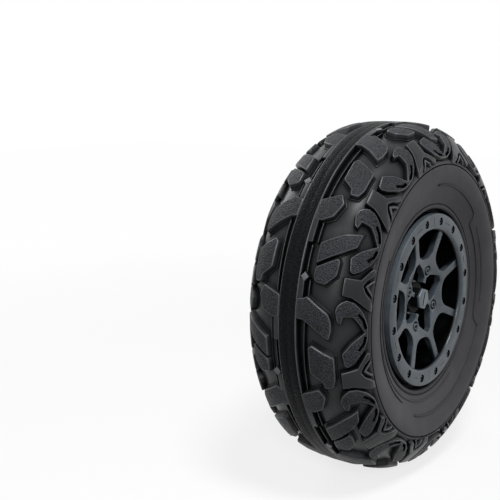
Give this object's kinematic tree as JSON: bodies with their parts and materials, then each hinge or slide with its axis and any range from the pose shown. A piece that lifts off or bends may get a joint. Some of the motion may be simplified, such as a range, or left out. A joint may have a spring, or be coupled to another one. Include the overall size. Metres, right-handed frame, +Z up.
{
  "type": "off-road wheel of a ride-on toy vehicle on its stub axle",
  "caption": "Wide lugged off-road wheel with an open-spoked rim, turning on a flanged stub axle that bolts to a children's ride-on vehicle.",
  "frame": {"origin": "centre of the axle plate's inner face, which bolts to the vehicle", "axes": "+Y out of that face towards the vehicle, along the axle; the wheel's outer face looks along -Y; +Z up"},
  "size_m": [0.34, 0.1363, 0.34],
  "materials": {
    "tyre_moulding": "moulded, fine leather grain on the lugs and smooth on the sidewall",
    "band": "moulded with a fine leather grain",
    "rim": "satin gunmetal, moulded and painted",
    "rim_trim": "satin gunmetal, a little lighter than the rim",
    "bushing": "natural nylon",
    "steel": "turned and zinc plated",
    "plate": "black powder coat"
  },
  "bodies": {
    "stub_axle": {"stub_axle": "steel", "axle_plate": "plate", "inner_washer": "steel", "outer_washer": "steel", "lock_nut": "steel"},
    "wheel": {"tyre": "tyre_moulding", "traction_band": "band", "rim_barrel": "rim", "rim_face": "rim", "centre_cap": "rim_trim", "lug_nut_1": "rim_trim", "lug_nut_2": "rim_trim", "lug_nut_3": "rim_trim", "lug_nut_4": "rim_trim", "bushing_outer": "bushing", "bushing_inner": "bushing"}
  },
  "joints": [
    {"name": "wheel_spin", "type": "hinge", "parent": "stub_axle", "child": "wheel", "pos_m": [0, -0.075, 0], "axis": [0, 1, 0], "continuous": true}
  ]
}
